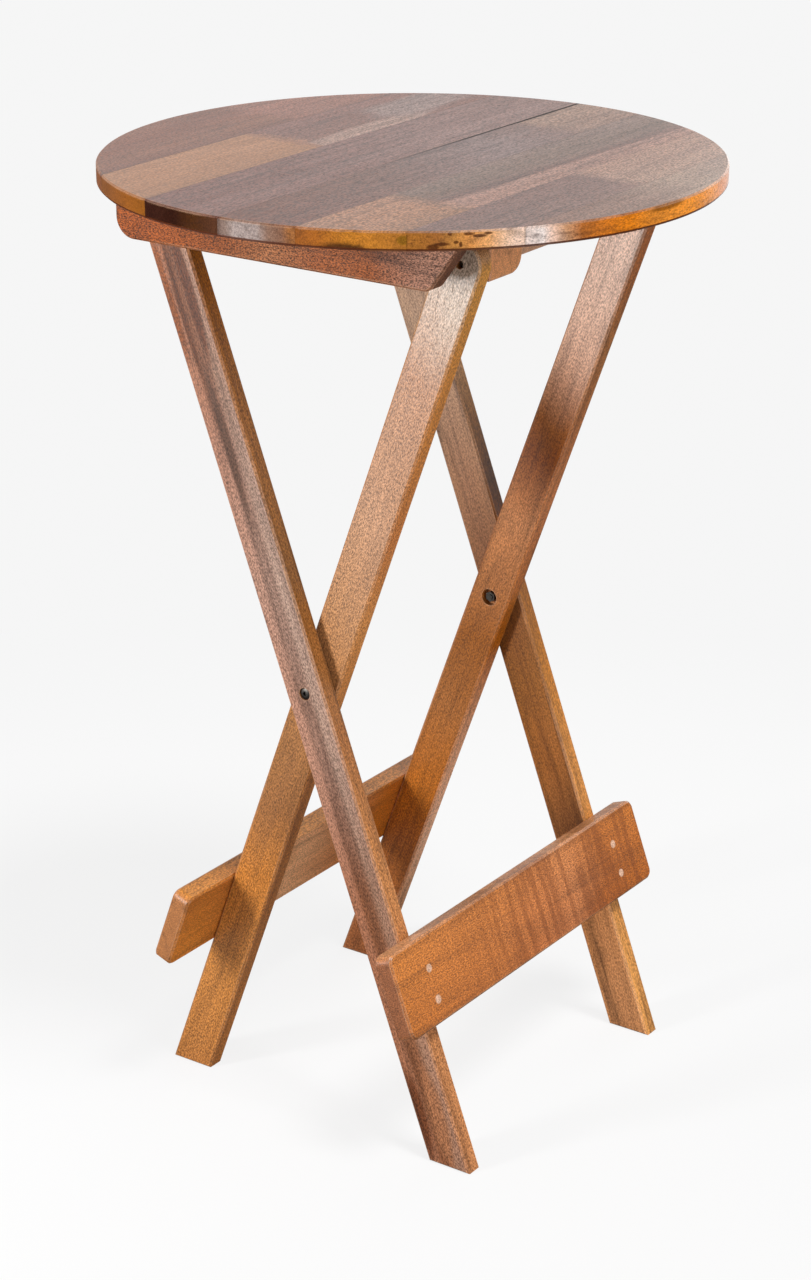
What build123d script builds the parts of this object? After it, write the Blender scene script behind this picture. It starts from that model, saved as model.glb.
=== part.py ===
from build123d import *
import math
import os

# Folding high table with a round top on two crossed frames, in millimetres.
# The origin lies on the floor under the middle of the top. X runs along the battens, Y along the pivots
# and Z up. The outer frame stands on the +X side and carries the top on a hinge. The inner frame crosses
# it, stands on the -X side, and holds the dowel that the hook blocks under the top rest on.

os.makedirs("parts", exist_ok=True)

# Top, glued up from rows of boards. Seams lie across X and butt joints across Y, as shares of the radius.
table_height = 960.0
top_diameter = 600.0
top_thickness = 18.0
top_arris = 1.5
seam_shares = [-0.63, -0.315, 0.0, 0.258, 0.557, 0.807]
butt_joint_shares = [0.24, -0.043, None, 0.603, -0.493, 0.073, None]

# Legs and how they stand
leg_width = 45.0
leg_thickness = 20.0
leg_arris = 2.0
outer_frame_width = 364.0
frame_gap = 1.0
foot_half_spread = 171.0
hinge_offset = 162.5
hinge_drop = 30.5

# Foot rails, measured along the legs from the floor
outer_rail_length = 450.0
inner_rail_length = 468.0
rail_width = 88.0
rail_thickness = 20.0
rail_corner_radius = 9.0
rail_arris = 2.0
outer_rail_low = 151.0
inner_rail_low = 154.5
rail_screw_low = 23.0
rail_screw_spacing = 32.5
rail_screw_depth = 28.0

# Battens under the top, outside the legs
batten_height = 48.0
batten_thickness = 20.0
batten_gap = 0.5
batten_arris = 2.0
batten_blunt_end = 200.0
batten_blunt_radius = 20.0
batten_slant_head = 193.0
batten_slant_foot = 158.0
batten_slant_radius = 13.0
batten_counterbore = 20.0
batten_screw_count = 4
batten_screw_spacing = 81.0

# Cross dowel, and the hook blocks that rest on it
dowel_diameter = 22.0
dowel_socket_depth = 5.0
dowel_screw_depth = 35.0
dowel_screw_recess = 8.0
catch_height = 48.0
catch_width = 52.5
catch_lip = 8.2
catch_tail = 37.5
catch_gap = 0.5
catch_arris = 1.5
catch_corner_radius = 16.0
catch_seat_clearance = 0.3
catch_screw_spacing = 24.0
catch_screw_recess = 4.0

# Scissor bolts and hinge bolts
bolt_diameter = 6.0
bolt_head_diameter = 11.6
bolt_head_height = 4.0
bolt_head_sink = 0.5
bolt_socket_flats = 4.0
bolt_socket_depth = 2.4
bolt_recess_diameter = 12.4
bolt_clearance = 0.05
washer_diameter = 18.0
nut_flats = 10.0
nut_height = 5.0
nut_recess_diameter = 18.0
nut_recess_depth = 7.0
insert_diameter = 10.0
insert_length = 13.0

# Wood screws, and the filler plugs over those of the rails
screw_diameter = 4.2
screw_head_diameter = 8.0
screw_head_height = 3.0
screw_top_skin = 6.0
screw_fit = 0.05
plug_diameter = 8.4
plug_height = 5.0

# One overrun serves all cuts
overrun = 1.0

# Places worked out from the sizes above
top_radius = top_diameter / 2
underside = table_height - top_thickness
hinge_height = underside - hinge_drop
pivot_height = hinge_height * foot_half_spread / (foot_half_spread + hinge_offset)
lean = math.atan2(foot_half_spread + hinge_offset, hinge_height)
leg_length = math.hypot(foot_half_spread + hinge_offset, hinge_height)
outer_leg_out = outer_frame_width / 2
outer_leg_in = outer_leg_out - leg_thickness
inner_leg_out = outer_leg_in - frame_gap
inner_leg_in = inner_leg_out - leg_thickness
batten_in = outer_leg_out + batten_gap
batten_out = batten_in + batten_thickness
catch_out = inner_leg_in - catch_gap
catch_in = catch_out - catch_width
seat_radius = dowel_diameter / 2 + catch_seat_clearance
bolt_hole_radius = bolt_diameter / 2 + bolt_clearance
screw_hole_radius = screw_diameter / 2 + screw_fit
screw_recess_radius = plug_diameter / 2 + screw_fit
row_edges = [-top_radius] + [share * top_radius for share in seam_shares] + [top_radius]
catch_screw_x = hinge_offset - (seat_radius + catch_tail) / 2


def rod(radius, start, end):
    """Cylinder from one point to another."""
    axis = Vector(*end) - Vector(*start)
    cylinder = Cylinder(radius, axis.length, align=(Align.CENTER, Align.CENTER, Align.MIN))
    return Plane(origin=start, z_dir=axis).location * cylinder


def aimed(solid, point, direction):
    """Moves a solid so that its origin comes to the point and its +Z axis looks along the direction."""
    return Plane(origin=point, z_dir=direction).location * solid


def screw(shank_length):
    """Wood screw with a flat head, the head's top at the origin and the shank below it."""
    head = Cylinder(screw_head_diameter / 2, screw_head_height, align=(Align.CENTER, Align.CENTER, Align.MAX))
    shank_top = (0, 0, -screw_head_height)
    return head + rod(screw_diameter / 2, shank_top, (0, 0, -screw_head_height - shank_length))


def bolt(shank_length):
    """Bolt with a round socket head, the head's top at the origin and the shank below it."""
    head = Cylinder(bolt_head_diameter / 2, bolt_head_height, align=(Align.CENTER, Align.CENTER, Align.MAX))
    shank = rod(bolt_diameter / 2, (0, 0, -bolt_head_height), (0, 0, -bolt_head_height - shank_length))
    hexagon = RegularPolygon(bolt_socket_flats / 2, side_count=6, major_radius=False)
    return head + shank - extrude(hexagon, amount=-bolt_socket_depth)


def washer(start, end):
    """Ring from one point to another, with the bolt's hole."""
    return rod(washer_diameter / 2, start, end) - rod(bolt_hole_radius, start, end)


def pivot(y):
    """Point of the scissor axis."""
    return (0, y, pivot_height)


def hinge(y):
    """Point of the axis on which the top turns."""
    return (-hinge_offset, y, hinge_height)


def dowel_axis(y):
    """Point of the cross dowel's axis."""
    return (hinge_offset, y, hinge_height)


def on_frame(stance, across, along, y):
    """Point of a frame: across its legs towards the rail, along them from the floor, stance 1 outer, -1 inner."""
    x = foot_half_spread + across * math.cos(lean) - along * math.sin(lean)
    z = across * math.sin(lean) + along * math.cos(lean)
    return (stance * x, y, z)


def frame_plane(stance, y):
    """Plane of a leg: X across it towards the rail side, Y up along it, origin on its centre line at the floor."""
    return Plane(
        origin=(stance * foot_half_spread, y, 0),
        x_dir=(stance * math.cos(lean), 0, math.sin(lean)),
        z_dir=(0, -stance, 0),
    )


def leg(stance, y):
    """Leg with a half-round top round the hinge or dowel axis, a foot cut level and softened arrises."""
    half_width = leg_width / 2
    heel = half_width * math.tan(lean)
    outline = [
        Line((half_width, -heel), (half_width, leg_length)),
        ThreePointArc((half_width, leg_length), (0, leg_length + half_width), (-half_width, leg_length)),
        Line((-half_width, leg_length), (-half_width, heel)),
        Line((-half_width, heel), (half_width, -heel)),
    ]
    blank = extrude(make_face(outline), amount=leg_thickness / 2, both=True)
    blank = chamfer(blank.faces().filter_by(Axis.Z).edges(), leg_arris)
    return frame_plane(stance, y).location * blank


def rail_screw_places(stance, rail_low, y_middle):
    """Where a rail's screws leave its outer face, and the way they look."""
    out = (stance * math.cos(lean), 0, math.sin(lean))
    low = rail_low + rail_screw_low
    across = leg_width / 2 + rail_thickness
    places = [
        on_frame(stance, across, along, y)
        for y in (-y_middle, y_middle)
        for along in (low, low + rail_screw_spacing)
    ]
    return places, Vector(*out)


def rail(stance, rail_low, length, y_middle):
    """Foot rail with rounded corners, drilled for its screws and plugs."""
    board = Box(rail_thickness, rail_width, length)
    board = fillet(board.edges().filter_by(Axis.X), rail_corner_radius)
    board = chamfer(board.faces().filter_by(Axis.X).edges(), rail_arris)
    across = (leg_width + rail_thickness) / 2
    board = frame_plane(stance, 0).location * Pos(across, rail_low + rail_width / 2, 0) * board
    places, out = rail_screw_places(stance, rail_low, y_middle)
    for place in places:
        face = Vector(*place)
        board -= rod(screw_hole_radius, face + out * overrun, face - out * (rail_thickness + overrun))
        board -= rod(screw_recess_radius, face + out * overrun, face - out * (plug_height + screw_head_height))
    return board


def rail_pilots(stance, rail_low, y_middle):
    """Holes in the legs' narrow edges for a rail's screws."""
    places, out = rail_screw_places(stance, rail_low, y_middle)
    reach = rail_thickness + rail_screw_depth
    return [rod(screw_hole_radius, Vector(*place), Vector(*place) - out * reach) for place in places]


def rail_screws(stance, rail_low, y_middle):
    """Screws of one rail, sunk under their plugs."""
    places, out = rail_screw_places(stance, rail_low, y_middle)
    length = rail_thickness + rail_screw_depth - plug_height - screw_head_height - screw_fit
    return [aimed(screw(length), Vector(*place) - out * plug_height, out) for place in places]


def rail_plugs(stance, rail_low, y_middle):
    """Filler plugs of one rail, flush with its face."""
    places, out = rail_screw_places(stance, rail_low, y_middle)
    return [rod(plug_diameter / 2, Vector(*place) - out * plug_height, place) for place in places]


def outer_leg(side):
    """Leg of the outer frame: scissor bolt's head outside, hinge bolt's head inside."""
    inside = side * outer_leg_in
    outside = side * outer_leg_out
    past_inside = inside - side * overrun
    past_outside = outside + side * overrun
    head_room = side * (bolt_head_height + bolt_head_sink)
    blank = leg(1, (inside + outside) / 2)
    blank -= rod(bolt_hole_radius, pivot(past_inside), pivot(past_outside))
    blank -= rod(bolt_recess_diameter / 2, pivot(outside - head_room), pivot(past_outside))
    blank -= rod(bolt_hole_radius, hinge(past_inside), hinge(past_outside))
    blank -= rod(bolt_recess_diameter / 2, hinge(inside + head_room), hinge(past_inside))
    return blank - rail_pilots(1, outer_rail_low, outer_screw_y)


def inner_leg(side):
    """Leg of the inner frame: nut's recess and dowel socket inside, dowel screw's recess outside."""
    inside = side * inner_leg_in
    outside = side * inner_leg_out
    past_inside = inside - side * overrun
    past_outside = outside + side * overrun
    blank = leg(-1, (inside + outside) / 2)
    blank -= rod(bolt_hole_radius, pivot(past_inside), pivot(past_outside))
    blank -= rod(nut_recess_diameter / 2, pivot(inside + side * nut_recess_depth), pivot(past_inside))
    socket_end = inside + side * dowel_socket_depth
    blank -= rod(dowel_diameter / 2 + screw_fit, dowel_axis(socket_end), dowel_axis(past_inside))
    blank -= rod(screw_hole_radius, dowel_axis(past_inside), dowel_axis(past_outside))
    recess_end = outside - side * dowel_screw_recess
    blank -= rod(screw_recess_radius, dowel_axis(recess_end), dowel_axis(past_outside))
    return blank - rail_pilots(-1, inner_rail_low, inner_screw_y)


def cross_dowel():
    """Round bar between the inner legs, drilled at its ends for a screw."""
    reach = inner_leg_in + dowel_socket_depth
    bar = rod(dowel_diameter / 2, dowel_axis(-reach), dowel_axis(reach))
    for side in (-1, 1):
        deep = side * (inner_leg_out - dowel_screw_recess - dowel_screw_depth)
        bar -= rod(screw_hole_radius, dowel_axis(deep), dowel_axis(side * (reach + overrun)))
    return bar


def batten_screw_places():
    """Points of the battens' lower faces where their screws go up, each under another row of boards."""
    y = (batten_in + batten_out) / 2
    z = underside - batten_height
    first = -batten_screw_spacing * (batten_screw_count - 1) / 2
    row = [first + number * batten_screw_spacing for number in range(batten_screw_count)]
    return [(x, side * y, z) for side in (-1, 1) for x in row]


def catch_screw_places():
    """Points of the hook blocks' flat tails where their screws go up."""
    y = (catch_in + catch_out) / 2
    z = hinge_height + seat_radius
    steps = (-catch_screw_spacing / 2, catch_screw_spacing / 2)
    return [(catch_screw_x, side * y + step, z) for side in (-1, 1) for step in steps]


def raised(point, rise):
    """The same point, higher."""
    return (point[0], point[1], point[2] + rise)


def screws_up(places, recess):
    """Screws from below, their heads at the bottom of the recess and their tips short of the top's face."""
    tip = table_height - screw_top_skin - screw_fit
    solids = []
    for place in places:
        head = raised(place, recess - screw_head_height)
        solids.append(aimed(screw(tip - head[2] - screw_head_height), head, (0, 0, -1)))
    return solids


def batten(side):
    """Batten with one rounded and one slanted end, drilled for its screws and for the hinge insert."""
    bottom = underside - batten_height
    corners = [
        (-batten_blunt_end, underside),
        (-batten_blunt_end, bottom),
        (batten_slant_foot, bottom),
        (batten_slant_head, underside),
    ]
    face = make_face(Polyline(*corners, close=True))
    low = face.vertices().group_by(Axis.Y)[0].sort_by(Axis.X)
    face = fillet(low[0], batten_blunt_radius)
    face = fillet(face.vertices().group_by(Axis.Y)[0].sort_by(Axis.X)[-1], batten_slant_radius)
    bar = extrude(Plane.XZ * face, amount=batten_thickness / 2, both=True)
    outline = bar.faces().filter_by(Axis.Y).edges()
    top_edges = outline.group_by(Axis.Z)[-1]
    bar = chamfer(outline.filter_by(lambda edge: edge not in top_edges), batten_arris)
    bar = Pos(0, side * (batten_in + batten_out) / 2, 0) * bar
    inside = side * batten_in
    deep = inside + side * insert_length
    bar -= rod(insert_diameter / 2 + screw_fit, hinge(inside - side * overrun), hinge(deep))
    for place in batten_screw_places():
        bar -= rod(screw_hole_radius, raised(place, -overrun), raised(place, batten_height + overrun))
        bar -= rod(screw_recess_radius, raised(place, -overrun), raised(place, batten_counterbore))
    return bar


def catch_block(side):
    """Hook block: a flat tail under the top, and a lip that comes down on the far side of the dowel."""
    bottom = underside - catch_height
    flat = hinge_height + seat_radius
    lip_in = hinge_offset + seat_radius
    lip_out = lip_in + catch_lip
    back = hinge_offset - catch_tail
    bow = seat_radius * math.sin(math.pi / 4)
    outline = [
        Line((lip_out, underside), (lip_out, bottom)),
        Line((lip_out, bottom), (lip_in, bottom)),
        Line((lip_in, bottom), (lip_in, hinge_height)),
        ThreePointArc((lip_in, hinge_height), (hinge_offset + bow, hinge_height + bow), (hinge_offset, flat)),
        Line((hinge_offset, flat), (back, flat)),
        Line((back, flat), (back, underside)),
        Line((back, underside), (lip_out, underside)),
    ]
    block = extrude(Plane.XZ * make_face(outline), amount=catch_width / 2, both=True)
    low_face = block.faces().sort_by(Axis.Z)[0]
    inboard = low_face.edges().filter_by(Axis.X).sort_by(Axis.Y)[0 if side > 0 else -1]
    block = fillet(inboard, catch_corner_radius)
    upright = block.edges().filter_by(Axis.Z).group_by(Axis.X)[-1]
    block = chamfer(upright, catch_arris)
    block = Pos(0, side * (catch_in + catch_out) / 2, 0) * block
    for place in catch_screw_places():
        block -= rod(screw_hole_radius, raised(place, -overrun), raised(place, catch_height))
        block -= rod(screw_recess_radius, raised(place, -overrun), raised(place, catch_screw_recess))
    return block


def top_blank():
    """Round top with softened arrises and the blind holes for the screws from below."""
    disc = Cylinder(top_radius, top_thickness, align=(Align.CENTER, Align.CENTER, Align.MIN))
    disc = chamfer(disc.edges().filter_by(GeomType.CIRCLE), top_arris)
    disc = Pos(0, 0, underside) * disc
    for place in batten_screw_places() + catch_screw_places():
        tip = (place[0], place[1], table_height - screw_top_skin)
        disc -= rod(screw_hole_radius, (place[0], place[1], underside - overrun), tip)
    return disc


def board_row(low, high, start, end):
    """Box round one board, between two seams and from one Y to another."""
    box = Box(high - low, end - start, top_thickness, align=(Align.MIN, Align.MIN, Align.MIN))
    return Pos(low, start, underside) * box


def save(name, *solids):
    """Writes one node, as one solid or as a group of alike solids."""
    shape = solids[0] if len(solids) == 1 else Compound([solid.solid() for solid in solids])
    export_step(shape, f"parts/{name}.step")


outer_screw_y = (outer_leg_in + outer_leg_out) / 2
inner_screw_y = (inner_leg_in + inner_leg_out) / 2

# Round top: the boards are cut from one drilled disc, so that their joints stay closed
disc = top_blank()
for number, (low, high) in enumerate(zip(row_edges, row_edges[1:]), start=1):
    joint_share = butt_joint_shares[number - 1]
    if joint_share is None:
        save(f"top_board_{number}", disc & board_row(low, high, -top_radius, top_radius))
        continue
    joint = joint_share * top_radius
    save(f"top_board_{number}_front", disc & board_row(low, high, -top_radius, joint))
    save(f"top_board_{number}_rear", disc & board_row(low, high, joint, top_radius))

# Front and rear pieces
for side, place in ((-1, "front"), (1, "rear")):
    save(f"batten_{place}", batten(side))
    save(f"catch_block_{place}", catch_block(side))
    save(f"leg_outer_{place}", outer_leg(side))
    save(f"leg_inner_{place}", inner_leg(side))

# Screws that hold the battens and hook blocks up to the top
save("batten_screws", *screws_up(batten_screw_places(), batten_counterbore))
save("catch_block_screws", *screws_up(catch_screw_places(), catch_screw_recess))

# Foot rails with their screws and plugs
save("foot_rail_outer", rail(1, outer_rail_low, outer_rail_length, outer_screw_y))
save("rail_outer_screws", *rail_screws(1, outer_rail_low, outer_screw_y))
save("rail_outer_plugs", *rail_plugs(1, outer_rail_low, outer_screw_y))
save("foot_rail_inner", rail(-1, inner_rail_low, inner_rail_length, inner_screw_y))
save("rail_inner_screws", *rail_screws(-1, inner_rail_low, inner_screw_y))
save("rail_inner_plugs", *rail_plugs(-1, inner_rail_low, inner_screw_y))

# Cross dowel of the inner frame
dowel_head_y = inner_leg_out - dowel_screw_recess + screw_head_height
save("cross_dowel", cross_dowel())
dowel_screws = [
    aimed(screw(dowel_screw_depth - screw_fit), dowel_axis(side * dowel_head_y), (0, side, 0))
    for side in (-1, 1)
]
save("dowel_screws", *dowel_screws)

# Scissor bolts: heads sunk in the outer legs, nuts sunk in the inner legs, washers between the legs
scissor_head_y = outer_leg_out - bolt_head_sink
nut_seat_y = inner_leg_in + nut_recess_depth
scissor_shank = scissor_head_y - bolt_head_height - nut_seat_y + nut_height + overrun
scissor_bolts = []
scissor_washers = []
scissor_nuts = []
for side in (-1, 1):
    scissor_bolts.append(aimed(bolt(scissor_shank), pivot(side * scissor_head_y), (0, side, 0)))
    scissor_washers.append(washer(pivot(side * inner_leg_out), pivot(side * outer_leg_in)))
    nut = extrude(RegularPolygon(nut_flats / 2, side_count=6, major_radius=False), amount=nut_height)
    nut -= rod(bolt_hole_radius, (0, 0, 0), (0, 0, nut_height))
    scissor_nuts.append(aimed(nut, pivot(side * nut_seat_y), (0, -side, 0)))
save("scissor_bolts", *scissor_bolts)
save("scissor_washers", *scissor_washers)
save("scissor_nuts", *scissor_nuts)

# Hinge bolts: heads sunk in the outer legs' inner faces, screwed into inserts in the battens
hinge_head_y = outer_leg_in + bolt_head_sink
hinge_shank = batten_in + insert_length - hinge_head_y - bolt_head_height - overrun
hinge_bolts = []
hinge_washers = []
hinge_inserts = []
for side in (-1, 1):
    hinge_bolts.append(aimed(bolt(hinge_shank), hinge(side * hinge_head_y), (0, -side, 0)))
    hinge_washers.append(washer(hinge(side * outer_leg_out), hinge(side * batten_in)))
    start = hinge(side * batten_in)
    end = hinge(side * (batten_in + insert_length))
    hinge_inserts.append(rod(insert_diameter / 2, start, end) - rod(bolt_hole_radius, start, end))
save("hinge_bolts", *hinge_bolts)
save("hinge_washers", *hinge_washers)
save("hinge_inserts", *hinge_inserts)
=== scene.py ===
import math

import bpy
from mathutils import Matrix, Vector


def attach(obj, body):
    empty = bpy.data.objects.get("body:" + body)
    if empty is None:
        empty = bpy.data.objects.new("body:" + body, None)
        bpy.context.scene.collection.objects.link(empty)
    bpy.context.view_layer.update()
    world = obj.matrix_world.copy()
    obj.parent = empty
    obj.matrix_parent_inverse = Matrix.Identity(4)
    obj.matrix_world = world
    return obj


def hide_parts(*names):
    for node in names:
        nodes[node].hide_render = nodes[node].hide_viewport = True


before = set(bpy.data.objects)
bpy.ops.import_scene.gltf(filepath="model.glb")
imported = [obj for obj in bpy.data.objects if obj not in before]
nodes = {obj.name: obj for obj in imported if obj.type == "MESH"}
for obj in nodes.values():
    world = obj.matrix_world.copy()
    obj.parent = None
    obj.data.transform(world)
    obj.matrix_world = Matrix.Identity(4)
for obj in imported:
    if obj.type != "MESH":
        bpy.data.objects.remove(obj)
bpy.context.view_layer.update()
scene = bpy.context.scene

# Camera: stands in front and to the right of the table, a little above its top, as the photographer did. Its
# place and lens come from fitting the top, the feet and the rails to the picture, with no shift or roll.
eye = Vector((1.63318, -2.35203, 1.59089))
sight = Vector((-0.53257, 0.76318, -0.36597))
lens_in_pixels = 3045.05
picture_height = 1280
camera = bpy.data.objects.new("camera", bpy.data.cameras.new("camera"))
camera.data.sensor_width = 36
camera.data.lens = lens_in_pixels * camera.data.sensor_width / picture_height
camera.data.clip_end = 100
camera.location = eye
camera.rotation_euler = sight.to_track_quat("-Z", "Y").to_euler()
scene.collection.objects.link(camera)
scene.camera = camera


# Studio: soft even light all round from a backdrop that shows near white to the camera and in reflections, a
# broad light high on the right, a tall narrow key light on the left, whose reflection is the sheen on the rim
# and on the legs' upper ends, where painted highlights in their colours add to it, and weaker boxes on the
# right and behind.
def linear(code):
    """A colour written as sRGB hex, as the linear numbers that a shader takes."""
    parts = [int(code[i:i + 2], 16) / 255 for i in (1, 3, 5)]
    return [c / 12.92 if c <= 0.04045 else ((c + 0.055) / 1.055) ** 2.4 for c in parts] + [1.0]


def add(tree, kind, settings, inputs):
    """Adds one node with its settings. An input is given as another node's output or as a plain value."""
    made = tree.nodes.new(kind)
    for name, value in settings.items():
        setattr(made, name, value)
    for name, value in inputs.items():
        if isinstance(value, bpy.types.NodeSocket):
            tree.links.new(value, made.inputs[name])
        else:
            made.inputs[name].default_value = value
    return made


backdrop_seen = 0.92
light_all_round = 0.17
studio = bpy.data.worlds.new("studio")
scene.world = studio
studio.use_nodes = True
tree = studio.node_tree
tree.nodes.clear()
ray = add(tree, "ShaderNodeLightPath", {}, {})
seen = add(tree, "ShaderNodeMath", {"operation": "MAXIMUM"},
           {0: ray.outputs["Is Camera Ray"], 1: ray.outputs["Is Glossy Ray"]})
seen = add(tree, "ShaderNodeMath", {"operation": "MAXIMUM"},
           {0: seen.outputs[0], 1: ray.outputs["Is Transmission Ray"]})
level = add(tree, "ShaderNodeMapRange", {},
            {"Value": seen.outputs[0], "To Min": light_all_round, "To Max": backdrop_seen})
sky = add(tree, "ShaderNodeBackground", {}, {"Color": linear("#ffffff"), "Strength": level.outputs[0]})
add(tree, "ShaderNodeOutputWorld", {}, {"Surface": sky.outputs[0]})

# Broad light high on the right: the top shades the upper halves of the legs from it
broad_strength = 0.72
broad_spread = 16
broad_side = Vector((0.43, -0.06, 0.90))
broad = bpy.data.lights.new("light_high_right", "SUN")
broad.energy = broad_strength * math.pi
broad.angle = math.radians(broad_spread)
lamp = bpy.data.objects.new("light_high_right", broad)
lamp.rotation_euler = broad_side.to_track_quat("Z", "Y").to_euler()
scene.collection.objects.link(lamp)

# Softboxes, upright and turned towards the table: name, degrees round from straight in front, then distance,
# width, height and middle above the floor in metres, and radiance
softboxes = (("key_left", -25, 1.7, 0.12, 0.85, 0.85, 84.0),
             ("softbox_right", 70, 1.7, 0.42, 1.3, 0.68, 5.0),
             ("fill_behind", 180, 2.2, 1.6, 1.6, 1.0, 2.0))
for name, degrees_round, distance, width, height, middle, radiance in softboxes:
    box = bpy.data.lights.new(name, "AREA")
    box.shape = "RECTANGLE"
    box.size = width
    box.size_y = height
    box.energy = radiance * math.pi * width * height
    lamp = bpy.data.objects.new(name, box)
    azimuth = math.radians(degrees_round)
    lamp.location = (distance * math.sin(azimuth), -distance * math.cos(azimuth), middle)
    lamp.visible_camera = False
    lamp.rotation_euler = (math.pi / 2, 0, azimuth)
    scene.collection.objects.link(lamp)

# Floor: matt studio paper, flat and wide. It throws light back on the wood as near-white paper does, while
# the camera sees it darker with a glow of its own, which keeps the table's shadow soft. About a metre from
# the table it turns into the backdrop, so the lamps leave no pools of light on it.
floor_reach = 30
mesh = bpy.data.meshes.new("floor")
mesh.from_pydata([(x * floor_reach, y * floor_reach, 0) for x, y in ((-1, -1), (1, -1), (1, 1), (-1, 1))],
                 [], [(0, 1, 2, 3)])
floor = bpy.data.objects.new("floor", mesh)
scene.collection.objects.link(floor)
paper_lift = 0.815
paper_to, backdrop_from = 0.65, 1.35
paper = bpy.data.materials.new("studio_paper")
paper.use_nodes = True
tree = paper.node_tree
tree.nodes.clear()
ray = add(tree, "ShaderNodeLightPath", {}, {})
tone = add(tree, "ShaderNodeMix", {"data_type": "RGBA"},
           {0: ray.outputs["Is Diffuse Ray"], 6: linear("#606060"), 7: linear("#c0c0c0")})
matt = add(tree, "ShaderNodeBsdfDiffuse", {}, {"Color": tone.outputs[2]})
lift = add(tree, "ShaderNodeMath", {"operation": "MULTIPLY"},
           {0: ray.outputs["Is Camera Ray"], 1: paper_lift})
glow = add(tree, "ShaderNodeEmission", {}, {"Color": linear("#ffffff"), "Strength": lift.outputs[0]})
both = add(tree, "ShaderNodeAddShader", {}, {0: matt.outputs[0], 1: glow.outputs[0]})
where = add(tree, "ShaderNodeTexCoord", {}, {})
away = add(tree, "ShaderNodeVectorMath", {"operation": "LENGTH"}, {0: where.outputs["Object"]})
away = add(tree, "ShaderNodeMapRange", {"interpolation_type": "SMOOTHSTEP"},
           {"Value": away.outputs["Value"], "From Min": paper_to, "From Max": backdrop_from})
away = add(tree, "ShaderNodeMath", {"operation": "MULTIPLY"},
           {0: away.outputs[0], 1: ray.outputs["Is Camera Ray"]})
blank = add(tree, "ShaderNodeEmission", {}, {"Color": linear("#ffffff"), "Strength": backdrop_seen})
both = add(tree, "ShaderNodeMixShader", {}, {0: away.outputs[0], 1: both.outputs[0], 2: blank.outputs[0]})
add(tree, "ShaderNodeOutputMaterial", {}, {"Surface": both.outputs[0]})
mesh.materials.append(paper)


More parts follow.
